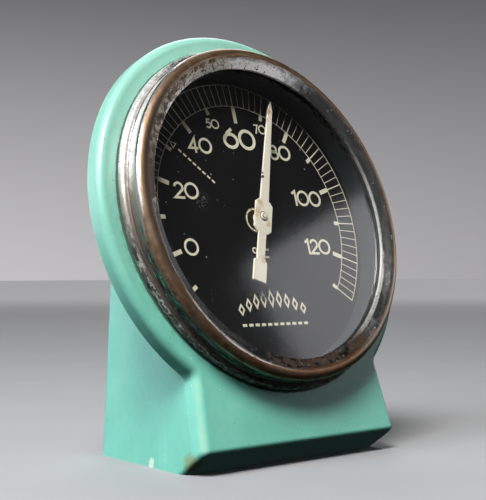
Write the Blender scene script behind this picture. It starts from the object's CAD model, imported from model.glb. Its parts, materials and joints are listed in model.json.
"""Looks of the desk dial thermometer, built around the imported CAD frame.

Everything is in metres in the frame's axes. The dial has axes of its own, in millimetres:
across to the right, up the printed face, and out through the glass.
"""

import json
import math

import bmesh
import bpy
from mathutils import Matrix, Vector, noise


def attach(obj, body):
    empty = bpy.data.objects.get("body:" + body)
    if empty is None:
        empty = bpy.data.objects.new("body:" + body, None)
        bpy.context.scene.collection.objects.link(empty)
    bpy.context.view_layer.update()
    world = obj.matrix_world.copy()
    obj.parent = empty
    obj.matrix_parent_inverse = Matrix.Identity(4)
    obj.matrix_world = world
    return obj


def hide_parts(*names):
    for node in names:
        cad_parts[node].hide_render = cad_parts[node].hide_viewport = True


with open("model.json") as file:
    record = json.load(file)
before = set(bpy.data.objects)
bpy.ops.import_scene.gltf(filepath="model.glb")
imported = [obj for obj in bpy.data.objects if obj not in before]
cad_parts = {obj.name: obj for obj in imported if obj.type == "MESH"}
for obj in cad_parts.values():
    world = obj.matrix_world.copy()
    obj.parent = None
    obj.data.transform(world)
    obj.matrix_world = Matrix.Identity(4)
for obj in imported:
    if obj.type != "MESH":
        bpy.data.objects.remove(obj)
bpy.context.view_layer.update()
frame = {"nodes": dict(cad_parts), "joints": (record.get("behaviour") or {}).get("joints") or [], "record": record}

MM = 0.001
nodes = frame["nodes"]

# The dial's axes, from the pointer's joint
pointer_joint = next(joint for joint in frame["joints"] if joint["name"] == "pointer_turn")
dial_centre = Vector(pointer_joint["pos_m"])
dial_out = -Vector(pointer_joint["axis"]).normalized()
dial_right = Vector((1, 0, 0))
dial_up = dial_out.cross(dial_right)

# The scale: values, and the radii of its two arcs in millimetres
top_value = 60
degrees_per_unit = 1.8
lowest_value = -10
highest_value = 130
freezing_value = 32
resting_value = 70.6
inner_arc = 28.5
outer_arc = 33.86

# Bezel section in the dial's axes, millimetres: the same as the CAD ring
face = 2.4
bead_radius = 41.0
bead_height = 2.0
wall_radius = 39.8
crest_radius = 38.05
crest_height = 7.1
crest_round = 1.74
sheet = 0.65
inner_slope = math.radians(25)
lip_radius = 34.8
lip_underside = 6.8
skirt_radius = 39.2


def on_dial(across, up, out=0.0):
    """A point of the dial's axes, in the frame."""
    return dial_centre + (dial_right * across + dial_up * up + dial_out * out) * MM


def ray(value, radius):
    """Where a scale value lies on the dial at that radius: (across, up)."""
    turn = math.radians((value - top_value) * degrees_per_unit)
    return radius * math.sin(turn), radius * math.cos(turn)


# ---------------------------------------------------------------- node trees


class Shade:
    """A material or a world and short calls for its nodes. Positions inside are in millimetres."""

    def __init__(self, name, world=False):
        self.material = bpy.data.worlds.new(name) if world else bpy.data.materials.new(name)
        self.material.use_nodes = True
        self.tree = self.material.node_tree
        self.tree.nodes.clear()
        self.output = self.node("ShaderNodeOutputWorld" if world else "ShaderNodeOutputMaterial")
        self.object_point = self.node("ShaderNodeTexCoord").outputs["Object"]
        self.point = self.vector("SCALE", self.object_point, scale=1 / MM)
        self.dial_axes = None

    def node(self, kind, **settings):
        made = self.tree.nodes.new(kind)
        for key, value in settings.items():
            setattr(made, key, value)
        return made

    def feed(self, socket, value):
        if isinstance(value, bpy.types.NodeSocket):
            self.tree.links.new(value, socket)
        elif socket.type == "RGBA" and len(value) == 3:
            socket.default_value = (*value, 1)
        else:
            socket.default_value = value

    def maths(self, operation, *values, clamp=False):
        made = self.node("ShaderNodeMath", operation=operation, use_clamp=clamp)
        for socket, value in zip(made.inputs, values):
            self.feed(socket, value)
        return made.outputs[0]

    def add(self, *values):
        total = values[0]
        for value in values[1:]:
            total = self.maths("ADD", total, value)
        return total

    def times(self, *values):
        total = values[0]
        for value in values[1:]:
            total = self.maths("MULTIPLY", total, value)
        return total

    def flip(self, value):
        return self.maths("SUBTRACT", 1.0, value)

    def most(self, *values):
        total = values[0]
        for value in values[1:]:
            total = self.maths("MAXIMUM", total, value)
        return total

    def vector(self, operation, first, second=None, scale=None):
        made = self.node("ShaderNodeVectorMath", operation=operation)
        self.feed(made.inputs[0], first)
        if second is not None:
            self.feed(made.inputs[1], second)
        if scale is not None:
            self.feed(made.inputs["Scale"], scale)
        plain = operation in ("DOT_PRODUCT", "LENGTH", "DISTANCE")
        return made.outputs["Value" if plain else "Vector"]

    def ramp(self, value, low, high):
        """0 below low, 1 above high and smooth between; low may be the larger one."""
        made = self.node("ShaderNodeMapRange", interpolation_type="SMOOTHSTEP")
        self.feed(made.inputs["Value"], value)
        first, last = (low, high) if low < high else (high, low)
        self.feed(made.inputs["From Min"], first)
        self.feed(made.inputs["From Max"], last)
        return made.outputs["Result"] if low < high else self.flip(made.outputs["Result"])

    def band(self, value, low, high, soft):
        """1 between low and high, with soft edges."""
        rise = self.ramp(value, low - soft, low + soft)
        fall = self.ramp(value, high + soft, high - soft)
        return self.times(rise, fall)

    def noise(self, size, detail=3.0, roughness=0.55, stretch=None, shift=0.0, warp=0.0):
        """Noise from 0 to 1 whose lumps are about size millimetres across."""
        place = self.point
        if stretch is not None:
            place = self.vector("MULTIPLY", place, stretch)
        if shift:
            place = self.vector("ADD", place, (shift, shift * 0.7, -shift))
        made = self.node("ShaderNodeTexNoise")
        self.feed(made.inputs["Vector"], place)
        self.feed(made.inputs["Scale"], 1 / size)
        self.feed(made.inputs["Detail"], detail)
        self.feed(made.inputs["Roughness"], roughness)
        self.feed(made.inputs["Distortion"], warp)
        return made.outputs["Fac"]

    def ring_noise(self, along, across_it, detail=3.0, roughness=0.55, shift=0.0):
        """Noise drawn out round the bezel: lump length and width in millimetres."""
        _, _, out, radius, clock = self.dial()
        place = self.node("ShaderNodeCombineXYZ")
        self.feed(place.inputs[0], self.times(clock, math.radians(bead_radius) / along))
        self.feed(place.inputs[1], self.times(self.add(radius, shift), 1 / across_it))
        self.feed(place.inputs[2], self.times(out, 1 / across_it))
        made = self.node("ShaderNodeTexNoise")
        self.feed(made.inputs["Vector"], place.outputs[0])
        self.feed(made.inputs["Scale"], 1.0)
        self.feed(made.inputs["Detail"], detail)
        self.feed(made.inputs["Roughness"], roughness)
        return made.outputs["Fac"]

    def cells(self, size, shift=0.0):
        """Distance from the nearest of scattered points, in cell sizes, and a number per cell."""
        place = self.point
        if shift:
            place = self.vector("ADD", place, (shift, -shift, shift))
        made = self.node("ShaderNodeTexVoronoi")
        self.feed(made.inputs["Vector"], place)
        self.feed(made.inputs["Scale"], 1 / size)
        number = self.node("ShaderNodeSeparateColor")
        self.feed(number.inputs[0], made.outputs["Color"])
        return made.outputs["Distance"], number.outputs[0]

    def specks(self, size, radius, share, shift=0.0):
        """1 on scattered specks of that radius (in cell sizes), in that share of the cells."""
        distance, number = self.cells(size, shift=shift)
        near = self.ramp(distance, radius, radius * 0.55)
        return self.times(near, self.maths("LESS_THAN", number, share))

    def dial(self):
        """Across, up, out, radius and clock angle in degrees (clockwise from the top)."""
        if self.dial_axes is None:
            offset = self.vector("SUBTRACT", self.object_point, tuple(dial_centre))
            offset = self.vector("SCALE", offset, scale=1 / MM)
            across = self.vector("DOT_PRODUCT", offset, tuple(dial_right))
            up = self.vector("DOT_PRODUCT", offset, tuple(dial_up))
            out = self.vector("DOT_PRODUCT", offset, tuple(dial_out))
            radius = self.maths("SQRT", self.add(self.times(across, across), self.times(up, up)))
            clock = self.times(self.maths("ARCTAN2", across, up), 180 / math.pi)
            self.dial_axes = across, up, out, radius, clock
        return self.dial_axes

    def spot(self, centre, radius, ragged=0.35, size=0.6, core=0.75):
        """1 in a ragged spot about a point of the frame in metres, fading outside core x radius."""
        centre_mm = tuple(c / MM for c in centre)
        distance = self.vector("DISTANCE", self.point, centre_mm)
        wobble = self.times(self.maths("SUBTRACT", self.noise(size, 3), 0.5), radius * ragged * 4)
        return self.ramp(self.add(distance, wobble), radius, radius * core)

    def mix(self, factor, first, second):
        made = self.node("ShaderNodeMix", data_type="RGBA")
        self.feed(made.inputs["Factor"], factor)
        self.feed(made.inputs[6], first)
        self.feed(made.inputs[7], second)
        return made.outputs[2]

    def blend(self, factor, first, second):
        """A number between two others."""
        made = self.node("ShaderNodeMix", data_type="FLOAT")
        self.feed(made.inputs[0], factor)
        self.feed(made.inputs[2], first)
        self.feed(made.inputs[3], second)
        return made.outputs[0]

    def bump(self, height, depth, strength):
        """Surface relief: height runs from 0 to 1 and depth is in millimetres."""
        made = self.node("ShaderNodeBump")
        self.feed(made.inputs["Strength"], strength)
        self.feed(made.inputs["Distance"], depth * MM)
        self.feed(made.inputs["Height"], height)
        return made.outputs["Normal"]

    def edge(self, radius, low=0.86, high=0.985):
        """1 along sharp edges, 0 on flat faces."""
        rounded = self.node("ShaderNodeBevel", samples=6)
        self.feed(rounded.inputs["Radius"], radius * MM)
        plain = self.node("ShaderNodeNewGeometry").outputs["Normal"]
        same = self.vector("DOT_PRODUCT", rounded.outputs["Normal"], plain)
        return self.ramp(same, high, low)

    def surface(self, **inputs):
        """Ends the material in one Principled shader."""
        shader = self.node("ShaderNodeBsdfPrincipled")
        for key, value in inputs.items():
            self.feed(shader.inputs[key.replace("_", " ")], value)
        self.tree.links.new(shader.outputs[0], self.output.inputs["Surface"])
        return self.material


# ---------------------------------------------------------------- materials


def green_moulding():
    """Glossy jade-green moulding: faint clouding, worn edges, dirt where the bezel meets it."""
    s = Shade("green_moulding")
    across, up, out, radius, clock = s.dial()
    cloud = s.noise(14, 4, 0.6, warp=0.6)
    grain = s.noise(1.3, 3, 0.6)
    colour = s.mix(s.ramp(cloud, 0.32, 0.7), (0.148, 0.495, 0.375), (0.178, 0.555, 0.430))
    faded = s.ramp(s.add(s.maths("ADD", up, s.times(across, -0.35)), s.times(cloud, 22)), -22, 52)
    colour = s.mix(s.times(faded, 0.75), colour, (0.24, 0.43, 0.350))
    colour = s.mix(s.times(s.ramp(grain, 0.45, 0.75), 0.12), colour, (0.33, 0.68, 0.55))
    worn = s.times(s.edge(0.7), s.ramp(s.noise(3.2, 4), 0.28, 0.62))
    colour = s.mix(s.times(worn, 0.45), colour, (0.50, 0.68, 0.44))
    # A thin dark line where the bezel's bead meets the case, wider and dirtier at the bottom left
    apart = s.maths("ABSOLUTE", s.maths("WRAP", s.add(clock, 150.0), -180.0, 180.0))
    below = s.ramp(apart, 95.0, 40.0)
    wander = s.times(s.add(s.noise(1.6, 4), -0.5), 0.5)
    rim = s.add(radius, wander, s.times(below, -0.25))
    on_face = s.band(out, 1.9, 3.2, 0.3)
    line = s.times(s.ramp(rim, 41.22, 41.0), on_face)
    colour = s.mix(s.times(line, 0.85), colour, (0.030, 0.036, 0.026))
    stain = s.times(s.ramp(rim, 42.6, 41.0), on_face, s.ramp(s.noise(2.4, 4, shift=6), 0.42, 0.66))
    colour = s.mix(s.times(stain, below, 0.45), colour, (0.07, 0.16, 0.10))
    low = s.vector("DOT_PRODUCT", s.point, (0, 0, 1))
    scuffed = s.times(s.ramp(low, 4.0, 0.3), s.ramp(s.noise(2.0, 5, 0.65, shift=9), 0.52, 0.74))
    colour = s.mix(s.times(scuffed, 0.35), colour, (0.26, 0.32, 0.22))
    dots = s.specks(2.6, 0.07, 0.3)
    colour = s.mix(s.times(dots, 0.7), colour, (0.05, 0.12, 0.08))
    pale = s.specks(3.4, 0.06, 0.35, shift=40)
    colour = s.mix(s.times(pale, 0.6), colour, (0.60, 0.80, 0.70))
    # The foot's front corners rubbed olive and pale from top to bottom
    half_width = s.add(25.3, s.times(up, -0.0928))
    from_corner = s.add(s.maths("ABSOLUTE", across), s.times(half_width, -1.0))
    corner = s.times(s.band(from_corner, -1.1, 0.6, 0.35), s.ramp(out, 0.2, 1.6))
    corner = s.times(corner, s.ramp(up, -33.0, -38.0))
    rubbed = s.times(corner, s.ramp(s.noise(2.6, 4, shift=3), 0.25, 0.6))
    colour = s.mix(s.times(rubbed, 0.45), colour, (0.38, 0.50, 0.37))
    # Olive scrape at the front left corner and a pale chip on the foot's left edge
    scrape = s.spot(Vector((-0.0299, -0.0196, 0.0024)), 3.1, 0.22, 1.6, 0.45)
    colour = s.mix(s.times(scrape, 0.7), colour, (0.23, 0.26, 0.11))
    chip = s.spot(Vector((-0.0287, -0.0045, 0.0010)), 1.2, 0.45, 0.7)
    colour = s.mix(s.times(chip, 0.85), colour, (0.62, 0.78, 0.66))
    scratch = s.noise(0.55, 2, 0.5, stretch=(0.12, 0.9, 1.6), warp=0.4)
    fine = s.ramp(scratch, 0.66, 0.74)
    rough = s.add(0.26, s.times(cloud, 0.12), s.times(fine, 0.12), s.times(scuffed, 0.3))
    rough = s.add(rough, s.times(line, 0.4), s.times(scrape, 0.35), s.times(worn, 0.12))
    relief = s.add(s.times(s.noise(9, 2), 0.8), s.times(grain, 0.05), s.times(fine, -0.03))
    relief = s.add(relief, s.times(chip, -0.4), s.times(scrape, s.noise(0.9, 4), -0.5))
    normal = s.bump(relief, 0.14, 0.6)
    return s.surface(
        Base_Color=colour, Roughness=rough, Normal=normal, IOR=1.53,
        Subsurface_Weight=0.10, Subsurface_Radius=(0.6, 1.0, 0.8), Subsurface_Scale=1.4 * MM,
        Coat_Weight=0.04, Coat_Roughness=0.16, Specular_IOR_Level=0.4,
    )


def worn_plating():
    """Plating worn to copper over the crest; pitted, silver or grey on the slope, foul below."""
    s = Shade("worn_plating")
    _, _, out, radius, clock = s.dial()
    patch = s.noise(6.0, 5, 0.6, warp=0.4)
    blotch = s.noise(1.9, 5, 0.66, shift=20)
    crumb = s.noise(0.5, 4, 0.65, shift=50)
    # Angle round the rolled crest: 0 faces outward, 90 faces the viewer, 115 starts the slope
    roll = s.maths("ARCTAN2", s.add(out, -crest_height), s.add(radius, -crest_radius))
    roll = s.times(roll, 180 / math.pi)
    wall = s.times(s.ramp(radius, 38.9, 39.5), s.ramp(out, 4.5, 4.9), s.ramp(out, 7.5, 6.8))
    bead = s.ramp(out, 4.75, 4.45)
    slope = s.times(s.ramp(radius, 37.7, 36.9), s.ramp(out, 6.6, 6.9))
    wander = s.times(s.add(blotch, -0.5), 26.0)

    def toward(angle, wide, narrow):
        """1 near a clock angle, 0 away from it, with a ragged border between the half widths."""
        apart = s.maths("ABSOLUTE", s.maths("WRAP", s.add(clock, wander, -angle), -180.0, 180.0))
        return s.ramp(apart, wide, narrow)

    # Zones of decay round the ring, in degrees clockwise from the top
    low_left = toward(-150.0, 64.0, 42.0)
    pit_zone = toward(-36.0, 44.0, 22.0)
    silver_zone = toward(8.0, 24.0, 13.0)
    grey_zone = toward(70.0, 60.0, 42.0)
    patch_zone = toward(130.0, 26.0, 14.0)
    rust_zone = toward(172.0, 36.0, 22.0)
    bare_zone = toward(-132.0, 52.0, 38.0)
    left = toward(-80.0, 62.0, 30.0)
    shining = toward(-58.0, 34.0, 14.0)
    # Copper over most of the slope at the left, and only over the crest at the top and right
    lean_in = s.maths("COSINE", s.times(s.add(clock, 72.0), math.pi / 180))
    lean_far = s.maths("POWER", s.most(lean_in, 0.0), 3.0)
    inner_edge = s.add(118.0, s.times(lean_in, 12.0), s.times(lean_far, 54.0))
    inner_edge = s.add(inner_edge, s.times(bare_zone, -34.0), s.times(rust_zone, 18.0))
    inner_edge = s.add(inner_edge, s.times(silver_zone, -10.0))
    outer_edge = s.add(14.0, s.times(lean_in, 26.0), s.times(low_left, -44.0))
    ragged = s.add(s.times(s.add(patch, -0.5), 46.0), s.times(s.add(blotch, -0.5), 34.0),
                   s.times(s.add(crumb, -0.5), 14.0))
    above = s.add(roll, ragged, s.times(outer_edge, -1.0))
    below = s.add(inner_edge, ragged, s.times(roll, -1.0))
    worn = s.times(s.ramp(above, -24.0, 20.0), s.ramp(below, -7.0, 9.0), s.ramp(out, 6.0, 7.2))
    rust = s.times(slope, rust_zone, s.ramp(s.add(blotch, s.times(crumb, 0.3)), 0.48, 0.86))
    worn = s.most(worn, s.times(rust, 0.8))
    worn = s.most(worn, s.times(wall, s.flip(left), s.ramp(patch, 0.52, 0.66), 0.7))
    # Copper: pinkish where it is thin, brown on the crest, redder and darker low down
    polish = s.ring_noise(9.0, 0.25, 3, 0.6)
    pinkish = s.mix(blotch, (0.42, 0.30, 0.22), (0.27, 0.18, 0.115))
    pinkish = s.mix(left, pinkish, s.mix(blotch, (0.66, 0.57, 0.51), (0.44, 0.36, 0.30)))
    brown = s.mix(s.ramp(blotch, 0.35, 0.7), (0.150, 0.082, 0.045), (0.27, 0.165, 0.092))
    brown = s.mix(s.times(s.ramp(polish, 0.50, 0.66), 0.55), brown, (0.46, 0.33, 0.20))
    low_side = s.most(low_left, rust_zone)
    red = s.times(low_side, s.ramp(patch, 0.40, 0.60), s.ramp(polish, 0.62, 0.45), 0.75)
    brown = s.mix(red, brown, (0.24, 0.085, 0.030))
    brown = s.mix(s.times(left, 0.55), brown, (0.115, 0.080, 0.056))
    inward = s.times(toward(-86.0, 46.0, 26.0), s.ramp(roll, 66.0, 104.0))
    brown = s.mix(s.times(inward, 0.75), brown, (0.050, 0.034, 0.025))
    brown = s.mix(s.times(grey_zone, 0.35), brown, (0.27, 0.20, 0.135))
    brown = s.mix(s.times(patch_zone, 0.6), brown, (0.40, 0.34, 0.27))
    rusty = s.mix(s.ramp(blotch, 0.35, 0.65), (0.22, 0.10, 0.042), (0.42, 0.29, 0.18))
    brown = s.mix(s.times(low_side, s.ramp(roll, 62.0, 14.0), 0.85), brown, rusty)
    burnt = s.mix(blotch, (0.016, 0.010, 0.007), (0.10, 0.042, 0.017))
    brown = s.mix(s.times(low_side, slope, 0.8), brown, burnt)
    copper = s.mix(s.ramp(worn, 0.30, 0.80), pinkish, brown)
    # The plating that is left, from silver to nearly black
    plate = s.mix(s.ramp(blotch, 0.3, 0.75), (0.86, 0.84, 0.83), (0.66, 0.62, 0.58))
    plate = s.mix(s.times(shining, s.flip(slope)), plate, (0.74, 0.71, 0.69))
    plate = s.mix(s.times(silver_zone, slope), plate, (0.97, 0.95, 0.96))
    plate = s.mix(s.times(grey_zone, slope, 0.85), plate, (0.19, 0.20, 0.21))
    plate = s.mix(s.times(patch_zone, slope), plate, (0.66, 0.66, 0.65))
    plate = s.mix(s.times(bare_zone, slope, 0.9), plate, (0.050, 0.053, 0.062))
    plate = s.mix(s.times(rust_zone, slope, 0.8), plate, (0.024, 0.021, 0.021))
    colour = s.mix(s.ramp(worn, 0.0, 0.6), plate, copper)
    # A brown film over it
    film = s.times(s.ramp(s.ring_noise(7.0, 1.6, 4, 0.6, 90), 0.42, 0.66), 0.35)
    film = s.times(film, s.flip(silver_zone), s.flip(shining))
    tanned = s.times(toward(-102.0, 34.0, 14.0), s.flip(slope), s.flip(worn), 0.8)
    film = s.most(film, tanned)
    colour = s.mix(film, colour, (0.22, 0.185, 0.14))
    # The upper left slope: islands of gold and silver left standing in black
    islands = s.noise(0.62, 4, 0.7, shift=15, warp=1.0)
    firm = s.add(islands, s.times(silver_zone, 0.10))
    lost = s.times(slope, pit_zone, s.ramp(firm, 0.495, 0.440))
    gold = s.times(slope, pit_zone, s.ramp(s.noise(1.6, 3, shift=61), 0.40, 0.62))
    colour = s.mix(s.times(gold, 0.75), colour, (0.74, 0.65, 0.51))
    # A brighter patch at the lower right, and dirt along the silver's outer border
    bright_patch = s.times(toward(134.0, 15.0, 8.0), slope, s.ramp(islands, 0.40, 0.50))
    colour = s.mix(bright_patch, colour, (0.60, 0.60, 0.58))
    edge_dirt = s.times(slope, silver_zone, s.ramp(s.add(radius, s.times(blotch, 2.2)), 37.4, 38.4))
    holes = s.times(slope, silver_zone, s.ramp(islands, 0.43, 0.38))
    lost = s.most(lost, s.times(edge_dirt, 0.8), holes)
    # A few pits elsewhere
    pit_distance, pit_number = s.cells(0.9)
    pits = s.times(s.ramp(pit_distance, 0.34, 0.2), s.maths("LESS_THAN", pit_number, 0.16))
    lost = s.most(lost, s.times(pits, s.flip(left), 0.8))
    colour = s.mix(s.times(lost, 0.94), colour, (0.018, 0.015, 0.013))
    # Corroded lumps on the bead at the left
    lumps = s.add(s.ring_noise(1.6, 0.5, 4, 0.7, 5), s.times(crumb, 0.35))
    corroded = s.times(bead, s.most(left, shining), s.ramp(lumps, 0.66, 0.56))
    colour = s.mix(s.times(corroded, 0.75), colour, (0.21, 0.185, 0.15))
    # Black grime and verdigris on the lower wall, a pale crust on the bead
    side = s.most(wall, bead)
    soot = s.ring_noise(5.0, 0.8, 5, 0.65, 11)
    grime = s.times(side, low_left, s.ramp(s.add(soot, s.times(crumb, 0.3)), 0.60, 0.74))
    colour = s.mix(s.times(side, low_left, 0.9), colour, (0.075, 0.062, 0.052))
    colour = s.mix(grime, colour, (0.010, 0.010, 0.009))
    bloom = s.add(s.times(s.ring_noise(2.4, 1.0, 3, 0.6, 37), 0.72), s.times(crumb, 0.28))
    verdigris = s.times(wall, s.add(0.03, s.times(low_left, 0.97)), s.ramp(bloom, 0.515, 0.57))
    green = s.mix(s.ramp(bloom, 0.53, 0.64), (0.015, 0.11, 0.065), (0.075, 0.46, 0.30))
    colour = s.mix(verdigris, colour, green)
    flakes = s.add(s.times(s.ring_noise(1.5, 0.6, 4, 0.65, 71), 0.65), s.times(crumb, 0.35))
    crust = s.times(s.ramp(out, 4.35, 4.0), s.ramp(flakes, 0.485, 0.57))
    crust = s.times(crust, s.add(0.10, s.times(low_left, 0.85)))
    colour = s.mix(s.times(crust, 0.85), colour, (0.38, 0.385, 0.35))
    groove = s.band(out, 4.42, 4.76, 0.10)
    colour = s.mix(s.times(groove, 0.8), colour, (0.085, 0.040, 0.026))
    # The lip is rubbed bright from the right round to the bottom
    lip = s.ramp(s.add(radius, s.times(patch_zone, -0.35)), 35.25, 35.0)
    rubbed = s.times(toward(106.0, 56.0, 18.0), lip, s.ramp(out, 6.9, 7.1))
    rubbed = s.times(rubbed, s.ramp(crumb, 0.30, 0.46))
    colour = s.mix(s.times(rubbed, 0.9), colour, (0.74, 0.73, 0.70))
    # What is fouled or corroded is rough and no longer metal
    dull = s.most(grime, verdigris, crust, lost, s.times(corroded, 0.8))
    metal = s.times(s.flip(s.times(dull, 0.95)), s.blend(worn, 1.0, 0.8))
    metal = s.times(metal, s.flip(s.times(side, low_left, 0.5)), s.flip(s.times(rubbed, 0.4)))
    matt = s.times(slope, s.most(silver_zone, s.times(pit_zone, 0.5)), 0.8)
    metal = s.times(metal, s.flip(matt))
    metal = s.times(metal, s.flip(s.times(side, shining, 0.35)))
    shine = s.add(0.14, s.times(blotch, 0.12), s.times(film, 0.3), s.times(slope, grey_zone, 0.14))
    shine = s.add(shine, s.times(slope, silver_zone, 0.18))
    dry = s.add(0.30, s.times(blotch, 0.2), s.times(polish, -0.08), s.times(left, 0.14))
    rough = s.blend(worn, shine, dry)
    rough = s.maths("MINIMUM", s.blend(dull, rough, 0.85), 1.0)
    relief = s.add(s.times(lost, -0.8), s.times(crumb, 0.22), s.times(verdigris, 0.9))
    relief = s.add(relief, s.times(crust, 0.7), s.times(blotch, 0.3), s.times(worn, -0.3))
    relief = s.add(relief, s.times(polish, worn, 0.25))
    normal = s.bump(relief, 0.035, 0.6)
    return s.surface(Base_Color=colour, Metallic=metal, Roughness=rough, Normal=normal)


def clear_glass():
    """Flat glass that doesn't bend the view: clear, mirror by Fresnel, with a little dust."""
    s = Shade("clear_glass")
    _, _, _, radius, _ = s.dial()
    clear = s.node("ShaderNodeBsdfTransparent")
    s.feed(clear.inputs["Color"], (0.965, 0.985, 0.975))
    mirror = s.node("ShaderNodeBsdfPrincipled")
    s.feed(mirror.inputs["Base Color"], (0.9, 0.9, 0.9))
    s.feed(mirror.inputs["Metallic"], 1.0)
    s.feed(mirror.inputs["Roughness"], s.add(0.06, s.times(s.noise(7, 4), 0.05)))
    fresnel = s.node("ShaderNodeFresnel")
    s.feed(fresnel.inputs["IOR"], 1.5)
    glossy = s.node("ShaderNodeMixShader")
    facing = s.flip(s.node("ShaderNodeNewGeometry").outputs["Backfacing"])
    two_faces = 1.8
    s.feed(glossy.inputs[0], s.times(fresnel.outputs[0], facing, two_faces))
    s.tree.links.new(clear.outputs[0], glossy.inputs[1])
    s.tree.links.new(mirror.outputs[0], glossy.inputs[2])
    dust = s.node("ShaderNodeBsdfDiffuse")
    s.feed(dust.inputs["Color"], (0.72, 0.70, 0.66))
    rim = s.times(s.ramp(radius, 32.5, 34.8), s.ramp(s.noise(1.4, 4), 0.45, 0.7))
    motes = s.specks(1.1, 0.11, 0.16)
    dusty = s.add(s.times(s.noise(10, 4), 0.002), s.times(rim, 0.05), s.times(motes, 0.14))
    whole = s.node("ShaderNodeMixShader")
    s.feed(whole.inputs[0], s.times(s.maths("MINIMUM", dusty, 0.5), facing))
    s.tree.links.new(glossy.outputs[0], whole.inputs[1])
    s.tree.links.new(dust.outputs[0], whole.inputs[2])
    s.tree.links.new(whole.outputs[0], s.output.inputs["Surface"])
    return s.material


def black_rubber():
    s = Shade("black_rubber")
    mottle = s.noise(0.8, 4)
    colour = s.mix(mottle, (0.012, 0.012, 0.012), (0.04, 0.038, 0.036))
    return s.surface(Base_Color=colour, Roughness=s.add(0.6, s.times(mottle, 0.25)),
                     Normal=s.bump(mottle, 0.03, 0.5))


def black_enamel():
    """Stoved enamel with orange peel, rubbed bright at the edges."""
    s = Shade("black_enamel")
    peel = s.noise(0.7, 2)
    mottle = s.noise(6, 4)
    colour = s.mix(mottle, (0.010, 0.011, 0.013), (0.026, 0.027, 0.030))
    rubbed = s.times(s.edge(0.25), s.ramp(s.noise(1.2, 4), 0.42, 0.62))
    colour = s.mix(s.times(rubbed, 0.6), colour, (0.24, 0.22, 0.19))
    colour = s.mix(s.times(s.specks(1.7, 0.1, 0.3), 0.5), colour, (0.30, 0.27, 0.22))
    return s.surface(Base_Color=colour, Metallic=s.times(rubbed, 0.7),
                     Roughness=s.add(0.26, s.times(mottle, 0.16)), Normal=s.bump(peel, 0.025, 0.5))


def dial_enamel():
    """Semi-matt black dial with dust, pale flecks and a bare edge round its hole."""
    s = Shade("dial_enamel")
    _, _, _, radius, _ = s.dial()
    mottle = s.noise(7, 4, 0.6)
    colour = s.mix(mottle, (0.0016, 0.0016, 0.0022), (0.0036, 0.0034, 0.0042))
    fleck = s.most(s.specks(1.5, 0.11, 0.16), s.specks(3.1, 0.085, 0.30, shift=30))
    colour = s.mix(s.times(fleck, 0.6), colour, (0.46, 0.45, 0.44))
    scuff = s.spot(on_dial(-15.5, 4.2), 2.2, 0.6, 0.7)
    scuff = s.times(scuff, s.ramp(s.noise(0.45, 3), 0.52, 0.66))
    colour = s.mix(s.times(scuff, 0.6), colour, (0.20, 0.19, 0.18))
    edge = s.times(s.ramp(radius, 3.1, 2.85), s.ramp(s.noise(0.9, 4, shift=4), 0.40, 0.50))
    colour = s.mix(s.times(edge, 0.9), colour, (0.46, 0.38, 0.25))
    relief = s.add(s.times(s.noise(0.25, 2), 0.5), s.times(fleck, 0.8))
    return s.surface(Base_Color=colour, Roughness=s.add(0.5, s.times(mottle, 0.12)),
                     Specular_IOR_Level=0.12, Normal=s.bump(relief, 0.012, 0.6))


def cream_ink():
    """Printed figures: cream ink, slightly thin and yellowed in places."""
    s = Shade("cream_ink")
    thin = s.noise(0.9, 4, 0.65)
    tone = s.noise(8, 3)
    colour = s.mix(tone, (0.70, 0.63, 0.47), (0.80, 0.74, 0.59))
    colour = s.mix(s.times(s.ramp(thin, 0.60, 0.76), 0.55), colour, (0.34, 0.29, 0.20))
    return s.surface(Base_Color=colour, Roughness=s.add(0.5, s.times(thin, 0.15)),
                     Normal=s.bump(thin, 0.01, 0.5))


def cream_enamel():
    """The pointer's enamel, stained brown near the tip and the pivot and chipped on one edge."""
    s = Shade("cream_enamel")
    pointer_height = 3.0
    turn = math.radians((resting_value - top_value) * degrees_per_unit)

    def along(distance, side):
        """A point on the pointer at that distance from the pivot, side to its right."""
        across = distance * math.sin(turn) + side * math.cos(turn)
        up = distance * math.cos(turn) - side * math.sin(turn)
        return on_dial(across, up, pointer_height)

    tone = s.noise(5, 4)
    colour = s.mix(tone, (0.70, 0.62, 0.50), (0.80, 0.73, 0.61))
    faint = s.times(s.spot(along(25.9, -0.9), 0.8, 0.6), 0.4)
    stain = s.most(s.spot(along(28.3, -0.7), 1.25, 0.45, 0.8, 0.4), faint)
    colour = s.mix(s.times(stain, 0.75), colour, (0.36, 0.19, 0.07))
    halo = s.most(
        s.spot(along(0.4, -2.1), 1.5, 0.6, 0.8, 0.3),
        s.spot(along(3.0, -1.3), 1.2, 0.5, 0.7, 0.3),
        s.spot(along(-1.6, 1.6), 1.1, 0.5, 0.7, 0.2),
        s.spot(along(-10.6, 0.9), 1.4, 0.5, 0.5, 0.2),
    )
    colour = s.mix(s.times(halo, 0.65), colour, (0.50, 0.29, 0.12))
    _, _, out, radius, _ = s.dial()
    ring = s.most(s.band(radius, 0.42, 0.60, 0.06), s.band(radius, 0.98, 1.20, 0.08))
    ring = s.times(ring, s.ramp(out, 2.0, 2.4))
    colour = s.mix(s.times(ring, 0.85), colour, (0.075, 0.045, 0.025))
    chip = s.spot(along(10.2, -1.0), 0.5, 0.5, 0.5)
    chip = s.most(chip, s.spot(along(11.1, -1.15), 0.3, 0.5, 0.4))
    colour = s.mix(chip, colour, (0.012, 0.011, 0.012))
    rub = s.times(s.edge(0.12), s.ramp(s.noise(0.8, 4), 0.5, 0.7))
    colour = s.mix(s.times(rub, 0.6), colour, (0.35, 0.28, 0.18))
    return s.surface(Base_Color=colour, Roughness=s.add(0.42, s.times(tone, 0.14)),
                     Normal=s.bump(s.add(tone, s.times(chip, -1.0)), 0.02, 0.5))


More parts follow.
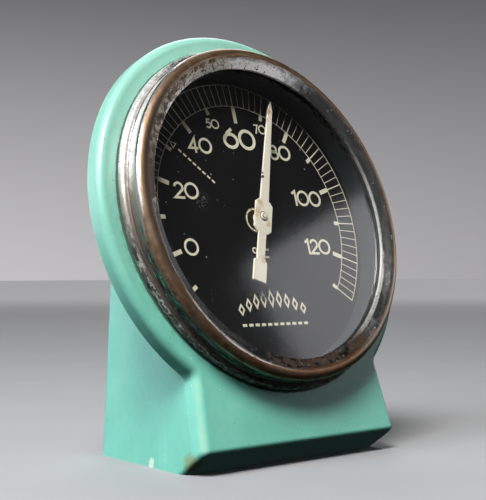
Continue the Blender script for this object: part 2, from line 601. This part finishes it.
def turned_metal(name, dark, light, tarnish, roughness):
    """Turned or pressed metal: fine tool marks round the dial axis and blotches of tarnish."""
    s = Shade(name)
    _, _, _, radius, _ = s.dial()
    mottle = s.noise(2.2, 4, 0.6)
    groove_pitch = 0.12
    wavering = s.add(radius, s.times(s.noise(1.5, 2), 0.2))
    marks = s.maths("SINE", s.times(wavering, 2 * math.pi / groove_pitch))
    colour = s.mix(mottle, dark, light)
    spoiled = s.ramp(s.noise(1.1, 5, 0.65, shift=12), 0.52, 0.72)
    colour = s.mix(s.times(spoiled, 0.65), colour, tarnish)
    rough = s.add(roughness, s.times(mottle, 0.12), s.times(spoiled, 0.22))
    relief = s.add(s.times(marks, 0.3), s.times(spoiled, -0.4))
    return s.surface(Base_Color=colour, Metallic=s.flip(s.times(spoiled, 0.25)), Roughness=rough,
                     Normal=s.bump(relief, 0.008, 0.6))


# Name, dark and light shade, tarnish, roughness
turned_metals = (
    ("pressed_steel", (0.32, 0.31, 0.30), (0.50, 0.49, 0.47), (0.16, 0.11, 0.07), 0.34),
    ("brass", (0.52, 0.36, 0.14), (0.70, 0.53, 0.26), (0.20, 0.13, 0.06), 0.28),
    ("steel_screw", (0.36, 0.35, 0.33), (0.55, 0.54, 0.52), (0.18, 0.12, 0.08), 0.32),
    ("bright_steel", (0.50, 0.50, 0.51), (0.68, 0.68, 0.69), (0.22, 0.18, 0.14), 0.2),
    ("spring_steel", (0.10, 0.11, 0.17), (0.20, 0.21, 0.28), (0.12, 0.08, 0.05), 0.3),
    ("dark_brass", (0.02, 0.016, 0.012), (0.11, 0.08, 0.04), (0.01, 0.009, 0.008), 0.5),
    ("bimetal", (0.42, 0.36, 0.27), (0.60, 0.54, 0.42), (0.22, 0.16, 0.09), 0.36),
)
materials = {
    "green_moulding": green_moulding(),
    "worn_plating": worn_plating(),
    "clear_glass": clear_glass(),
    "black_rubber": black_rubber(),
    "black_enamel": black_enamel(),
    "dial_enamel": dial_enamel(),
    "cream_ink": cream_ink(),
    "cream_enamel": cream_enamel(),
}
for metal_values in turned_metals:
    materials[metal_values[0]] = turned_metal(*metal_values)

# Every CAD node takes the material of its slot in the record
for part in frame["record"]["subparts"]:
    node = nodes[part["node"]]
    node.data.materials.clear()
    node.data.materials.append(materials[part["material_slot"]])
# The collet and the spindle are painted over with the pointer, and the bush behind is blackened
nodes["pointer_collet"].data.materials[0] = materials["cream_enamel"]
nodes["spindle"].data.materials[0] = materials["cream_enamel"]
nodes["front_bush"].data.materials[0] = materials["dark_brass"]


# ---------------------------------------------------------------- pieces


def new_piece(name, mesh_source, material, body="case"):
    """An object from a bmesh, riding on a body."""
    mesh = bpy.data.meshes.new(name)
    mesh_source.to_mesh(mesh)
    mesh_source.free()
    piece = bpy.data.objects.new(name, mesh)
    bpy.context.scene.collection.objects.link(piece)
    mesh.materials.append(materials[material])
    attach(piece, body)
    return piece


def bezel_section():
    """Outline of the spun sheet: (radius, out, depth of the unevenness there in mm)."""
    bead_uneven, edge_uneven, slope_uneven, wall_uneven = 0.035, 0.02, 0.01, 0.006
    foot = bead_radius - bead_height / 4
    swell = bead_radius - foot
    outline = [(skirt_radius, face, 0.0), (foot, face, slope_uneven)]
    bead_steps = 13
    for step in range(1, bead_steps):
        turn = -math.pi / 2 + math.pi * step / bead_steps
        lean = 0.6 * (step / bead_steps) ** 3
        outline.append((foot + swell * math.cos(turn) - lean,
                        face + bead_height / 2 * (1 + math.sin(turn)), bead_uneven))
    # The groove over the bead, then the wall, which leans out a little as it rises
    bead_top = face + bead_height
    groove_radius, groove_out = wall_radius - 0.25, bead_top + 0.3
    outline.append((wall_radius - 0.05, bead_top + 0.02, edge_uneven))
    outline.append((groove_radius, groove_out, slope_uneven))
    wall_steps = 8
    for step in range(1, wall_steps):
        share = step / wall_steps
        outline.append((groove_radius + 0.24 * share,
                        groove_out + (crest_height - groove_out) * share, wall_uneven))
    end = math.pi / 2 + inner_slope
    crest_steps = 18
    for step in range(crest_steps + 1):
        turn = end * step / crest_steps
        outline.append((crest_radius + crest_round * math.cos(turn),
                        crest_height + crest_round * math.sin(turn), wall_uneven))
    top_radius, top_out, _ = outline[-1]
    fall = math.tan(inner_slope)
    slope_steps = 16
    for step in range(1, slope_steps + 1):
        here = top_radius + (lip_radius - top_radius) * step / slope_steps
        outline.append((here, top_out - (top_radius - here) * fall, slope_uneven))
    # Round the lip and back up inside the crest
    outline.append((lip_radius - 0.02, (outline[-1][1] + lip_underside) / 2, edge_uneven))
    outline.append((lip_radius + 0.05, lip_underside, 0.0))
    outline.append((crest_radius - 1.35, lip_underside, 0.0))
    inner = crest_round - sheet
    inner_steps = 4
    for step in range(inner_steps + 1):
        turn = end * (1 - step / inner_steps)
        outline.append((crest_radius + inner * math.cos(turn),
                        crest_height + inner * math.sin(turn), 0.0))
    return outline


def bezel_skin(turns=600):
    """The bezel finely divided, so that lumps on the bead and a ragged lip are real."""
    section = bezel_section()
    built = bmesh.new()
    rings = []
    for index in range(turns):
        angle = 2 * math.pi * index / turns
        ring = []
        across, up = math.sin(angle), math.cos(angle)
        for radius, out, uneven in section:
            point = Vector((across * radius, up * radius, out))
            coarse = noise.fractal(point * 0.55, 1.0, 2.0, 3)
            fine = noise.noise(point * 2.6)
            lift = uneven * (coarse * 0.8 + fine * 0.7 - 1.0)
            far = radius + lift
            ring.append(built.verts.new(on_dial(across * far, up * far, out + lift * 0.6)))
        rings.append(ring)
    for index in range(turns):
        here, there = rings[index], rings[(index + 1) % turns]
        for side in range(len(section)):
            other = (side + 1) % len(section)
            built.faces.new((here[side], here[other], there[other], there[side]))
    bmesh.ops.recalc_face_normals(built, faces=built.faces)
    for made in built.faces:
        made.smooth = True
    piece = new_piece("bezel_skin", built, "worn_plating")
    piece.data.set_sharp_from_angle(angle=math.radians(50))
    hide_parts("bezel_ring")
    return piece


# Printed marks: ribbons of ink a few hundredths of a millimetre thick
ink_height = 0.04


def ribbon(built, points, width, closed=False, low=0.0):
    """A flat stroke along points (across, up), with mitred corners."""
    count = len(points)
    left, right = [], []
    for index, point in enumerate(points):
        here = Vector(point)
        before = Vector(points[index - 1]) if index > 0 or closed else None
        after = Vector(points[(index + 1) % count]) if index < count - 1 or closed else None
        runs = []
        if before is not None:
            runs.append((here - before).normalized())
        if after is not None:
            runs.append((after - here).normalized())
        direction = sum(runs, Vector((0, 0))).normalized()
        sideways = Vector((-direction.y, direction.x))
        reach = width / 2 / max(0.35, abs(sideways.dot(Vector((-runs[0].y, runs[0].x)))))
        left.append(here + sideways * reach)
        right.append(here - sideways * reach)
    corners = []
    for out in (low, low + ink_height):
        corners.append([built.verts.new(on_dial(p.x, p.y, out)) for p in left])
        corners.append([built.verts.new(on_dial(p.x, p.y, out)) for p in right])
    low_left, low_right, top_left, top_right = corners
    last = count if closed else count - 1
    for index in range(last):
        nxt = (index + 1) % count
        built.faces.new((top_left[index], top_right[index], top_right[nxt], top_left[nxt]))
        built.faces.new((low_left[index], low_left[nxt], low_right[nxt], low_right[index]))
        built.faces.new((low_left[index], top_left[index], top_left[nxt], low_left[nxt]))
        built.faces.new((low_right[index], low_right[nxt], top_right[nxt], top_right[index]))
    if not closed:
        for end in (0, count - 1):
            built.faces.new((low_left[end], low_right[end], top_right[end], top_left[end]))


def arc(centre, wide, high, first, last, steps=24):
    """Points on an ellipse from one clock angle to another, in degrees clockwise from the top."""
    made = []
    for step in range(steps + 1):
        turn = math.radians(first + (last - first) * step / steps)
        made.append((centre[0] + wide * math.sin(turn), centre[1] + high * math.cos(turn)))
    return made


def loop(centre, wide, high, steps=40):
    return arc(centre, wide, high, 0, 360 - 360 / steps, steps - 1)


def figure(character):
    """A figure in a box one unit high, about its middle: (width, open strokes, closed strokes)."""
    if character == "0":
        return 1.04, [], [loop((0, 0), 0.45, 0.43)]
    if character == "1":
        return 0.42, [[(-0.17, 0.27), (0.10, 0.43), (0.10, -0.5)]], []
    if character == "2":
        bowl = arc((0, 0.16), 0.29, 0.27, -78, 118, 18)
        return 0.78, [bowl + [(-0.32, -0.43), (0.37, -0.43)]], []
    if character == "4":
        return 0.82, [[(0.36, -0.20), (-0.34, -0.20), (0.14, 0.40), (0.14, -0.5)]], []
    if character == "5":
        bowl = arc((-0.03, -0.15), 0.28, 0.28, -28, 232, 22)
        return 0.66, [[(0.24, 0.43), (-0.14, 0.43), (-0.20, 0.08)] + bowl], []
    if character == "6":
        stem = [(0.14, 0.46), (-0.14, 0.26), (-0.34, 0.0), (-0.39, -0.12)]
        return 0.98, [stem], [loop((0, -0.12), 0.39, 0.32)]
    if character == "7":
        return 0.66, [[(-0.27, 0.43), (0.25, 0.43), (-0.10, -0.5)]], []
    return 0.80, [], [loop((0, 0.22), 0.24, 0.21), loop((0, -0.19), 0.32, 0.25)]


def write_number(built, text, centre, height, stroke):
    """Upright figures about a centre (across, up)."""
    shapes = [figure(character) for character in text]
    total = sum(shape[0] for shape in shapes) * height
    start = centre[0] - total / 2
    for width, opened, closed in shapes:
        middle = (start + width * height / 2, centre[1])
        for strokes, shut in ((opened, False), (closed, True)):
            for stroke_line in strokes:
                line = [(middle[0] + x * height, middle[1] + y * height)
                        for x, y in stroke_line]
                ribbon(built, line, stroke, closed=shut)
        start += width * height


def dial_numbers():
    """The printed numbers, larger at the top and smaller between."""
    built = bmesh.new()
    # Value, radius of its middle, height and stroke
    printed = (
        (0, 22.2, 4.0, 0.58), (20, 20.6, 4.0, 0.58), (40, 21.8, 3.9, 0.58), (50, 24.6, 2.4, 0.38),
        (60, 20.2, 5.2, 0.82), (70, 24.5, 2.4, 0.38), (80, 21.8, 3.9, 0.60),
        (100, 19.8, 4.0, 0.60), (120, 20.2, 3.9, 0.60),
    )
    for value, radius, height, stroke in printed:
        write_number(built, str(value), ray(value, radius), height, stroke)
    return new_piece("dial_numbers", built, "cream_ink")


def dial_unit():
    """The degree ring and the letter of the unit."""
    built = bmesh.new()
    ribbon(built, loop((-2.1, -7.4), 0.62, 0.62, 24), 0.32, closed=True)
    stem, foot, bar, top = 0.35, -10.6, -9.0, -7.2
    stroke = 0.5
    ribbon(built, [(stem, foot), (stem, top), (stem + 2.1, top)], stroke)
    ribbon(built, [(stem, bar), (stem + 1.7, bar)], stroke)
    return new_piece("dial_unit", built, "cream_ink")


def dial_scale():
    """Both arcs and a line between them every two units."""
    built = bmesh.new()
    thin, thick = 0.17, 0.28
    spread = [(value - top_value) * degrees_per_unit for value in (lowest_value, highest_value)]
    ribbon(built, arc((0, 0), inner_arc, inner_arc, *spread, steps=180), thin)
    ribbon(built, arc((0, 0), outer_arc, outer_arc, *spread, steps=180), thin)
    for value in range(lowest_value, highest_value + 1, 2):
        width = thick if value % 10 == 0 else thin
        ribbon(built, [ray(value, inner_arc), ray(value, outer_arc)], width)
    return new_piece("dial_scale", built, "cream_ink")


def dial_stubs():
    """Stubs inward from the scale at every ten, longer at every twenty and longest at the top."""
    built = bmesh.new()
    for value in range(lowest_value, highest_value + 1, 10):
        reach = 26.9 if value % 20 else 25.4
        reach = 24.2 if value == top_value else reach
        width = 1.05 if value % 20 == 0 else 0.95
        ribbon(built, [ray(value, reach), ray(value, inner_arc)], width)
    return new_piece("dial_stubs", built, "cream_ink")


def dial_ornaments():
    """Plain ornaments: a triangle and a dashed line at freezing, and two rows of marks below."""
    built = bmesh.new()
    tip = Vector(ray(freezing_value, 28.1))
    inward = -tip.normalized()
    side = Vector((-inward.y, inward.x))
    corners = [tip, tip + inward * 1.5 + side * 0.75, tip + inward * 1.5 - side * 0.75]
    ribbon(built, [tuple(c) for c in corners], 0.2, closed=True)
    for dash in range(8):
        start = 25.4 - dash * 1.55
        ribbon(built, [ray(freezing_value, start), ray(freezing_value, start - 1.0)], 0.42)
    # An arched row of lozenges, and a row of dashes below it
    arch_top, arch_drop, arch_half = -19.0, 3.0, 11
    half_width = 0.75
    for lozenge in range(-4, 5):
        across = lozenge * 2.45
        middle = arch_top - arch_drop * (across / arch_half) ** 2
        high = 1.75 - 0.16 * abs(lozenge)
        outline = [(across, middle + high), (across + half_width, middle),
                   (across, middle - high), (across - half_width, middle)]
        ribbon(built, outline, 0.42, closed=True)
    row, half_dash = -25.0, 0.62
    for dash in range(-5, 6):
        across = dash * 1.95
        ribbon(built, [(across - half_dash, row), (across + half_dash, row)], 0.62)
    return new_piece("dial_ornaments", built, "cream_ink")


def hole_ring():
    """Flaked cream ring round the hole in the dial."""
    built = bmesh.new()
    ring_radius = 2.66
    runs = ((-12, 58), (70, 128), (142, 205), (214, 296), (306, 340))
    for first, last in runs:
        line = []
        for x, y in arc((0, 0), ring_radius, ring_radius, first, last, 14):
            wobble = 1 + 0.05 * noise.noise(Vector((x, y, 0)) * 1.7)
            line.append((x * wobble, y * wobble))
        ribbon(built, line, 0.26)
    return new_piece("hole_ring", built, "cream_ink")


bezel_skin()
dial_scale()
dial_stubs()
dial_numbers()
dial_unit()
dial_ornaments()
hole_ring()
nodes["glass"].visible_shadow = False


# ---------------------------------------------------------------- stage, light and camera


def stage_floor():
    """A plain pale floor."""
    built = bmesh.new()
    bmesh.ops.create_grid(built, x_segments=2, y_segments=2, size=6.0)
    mesh = bpy.data.meshes.new("floor")
    built.to_mesh(mesh)
    built.free()
    floor = bpy.data.objects.new("floor", mesh)
    bpy.context.scene.collection.objects.link(floor)
    # The far floor glows a little, so that it meets the backdrop without a dark band
    s = Shade("floor")
    colour = s.mix(s.noise(40, 3), (0.27, 0.27, 0.275), (0.30, 0.30, 0.305))
    away = s.vector("LENGTH", s.object_point)
    glow = s.times(s.ramp(away, 0.25, 1.9), 0.36)
    mesh.materials.append(s.surface(Base_Color=colour, Roughness=0.75,
                                    Emission_Color=(0.98, 0.97, 1.0), Emission_Strength=glow))
    # The pale floor throws no light back at the object, as if it stood on a dark bench
    floor.visible_diffuse = False
    floor.visible_glossy = False


def lamp(name, bearing, height, distance, size, brightness, colour=(1, 1, 1)):
    """A soft rectangular lamp aimed at the object, with its bearing clockwise from +Y."""
    turn, rise = math.radians(bearing), math.radians(height)
    level = math.cos(rise)
    toward = Vector((math.sin(turn) * level, math.cos(turn) * level, math.sin(rise)))
    data = bpy.data.lights.new(name, "AREA")
    data.shape = "RECTANGLE"
    data.size, data.size_y = size
    data.energy = brightness * math.pi * size[0] * size[1]
    data.color = colour
    made = bpy.data.objects.new(name, data)
    bpy.context.scene.collection.objects.link(made)
    made.location = Vector((0, 0, 0.05)) + toward * distance
    made.rotation_euler = toward.to_track_quat("Z", "Y").to_euler()


def studio():
    """A dim room with a backdrop that is palest at the horizon, and soft lamps."""
    scene = bpy.context.scene
    scene.view_settings.view_transform = "Standard"
    s = Shade("studio", world=True)
    scene.world = s.material
    direction = s.node("ShaderNodeTexCoord").outputs["Generated"]
    height = s.vector("DOT_PRODUCT", direction, (0, 0, 1))
    ahead = s.vector("DOT_PRODUCT", direction, (0.679, 0.734, 0))
    leftward = s.vector("DOT_PRODUCT", direction, (-0.734, 0.679, 0))
    band = s.times(s.ramp(height, 0.36, -0.05), s.ramp(height, -0.10, -0.02))
    band = s.times(band, s.ramp(ahead, -0.1, 0.7))
    around = s.times(s.ramp(height, 0.16, 0.0), s.ramp(height, -0.06, -0.02), 0.12)
    sideways = s.add(0.66, s.times(s.ramp(leftward, -0.35, 0.30), 0.34))
    overhead = s.times(s.ramp(height, -0.05, 0.3), 0.02)
    backdrop = s.most(around, s.times(band, sideways, 0.56))
    room = 0.018
    background = s.node("ShaderNodeBackground")
    s.feed(background.inputs["Color"], (0.98, 0.96, 1.0))
    s.feed(background.inputs["Strength"], s.add(room, overhead, backdrop))
    s.tree.links.new(background.outputs[0], s.output.inputs["Surface"])
    # Bearing and height in degrees, distance, size, brightness, colour
    lamp("key", -125, 55, 0.8, (0.27, 0.27), 40.0, (1.0, 0.985, 0.955))
    lamp("window", -96, 42, 0.8, (0.42, 0.42), 11.2, (0.91, 0.975, 1.09))
    lamp("rear_left_panel", -40, 8, 0.9, (0.55, 0.42), 2.1, (0.86, 0.97, 1.10))
    lamp("low_right_panel", 112.5, 16, 0.9, (0.64, 0.26), 1.6, (0.98, 0.98, 1.02))
    lamp("rear_right_panel", 40, 40, 0.9, (0.4, 0.4), 3.5)


def camera():
    """42.8 degrees to the left of square on, and level with the lower part of the dial."""
    data = bpy.data.cameras.new("camera")
    data.sensor_width = 36.0
    data.lens = 83.857
    data.clip_start = 0.01
    data.clip_end = 20.0
    made = bpy.data.objects.new("camera", data)
    bpy.context.scene.collection.objects.link(made)
    right = Vector((0.73434, -0.67877, -0.00287))
    up = Vector((-0.01141, -0.01657, 0.99980))
    backward = -Vector((0.67868, 0.73416, 0.01992))
    place = Vector((-0.186452, -0.20484, 0.042226))
    turned = Matrix((right, up, backward)).transposed().to_4x4()
    made.matrix_world = Matrix.Translation(place) @ turned
    bpy.context.scene.camera = made


stage_floor()
studio()
camera()
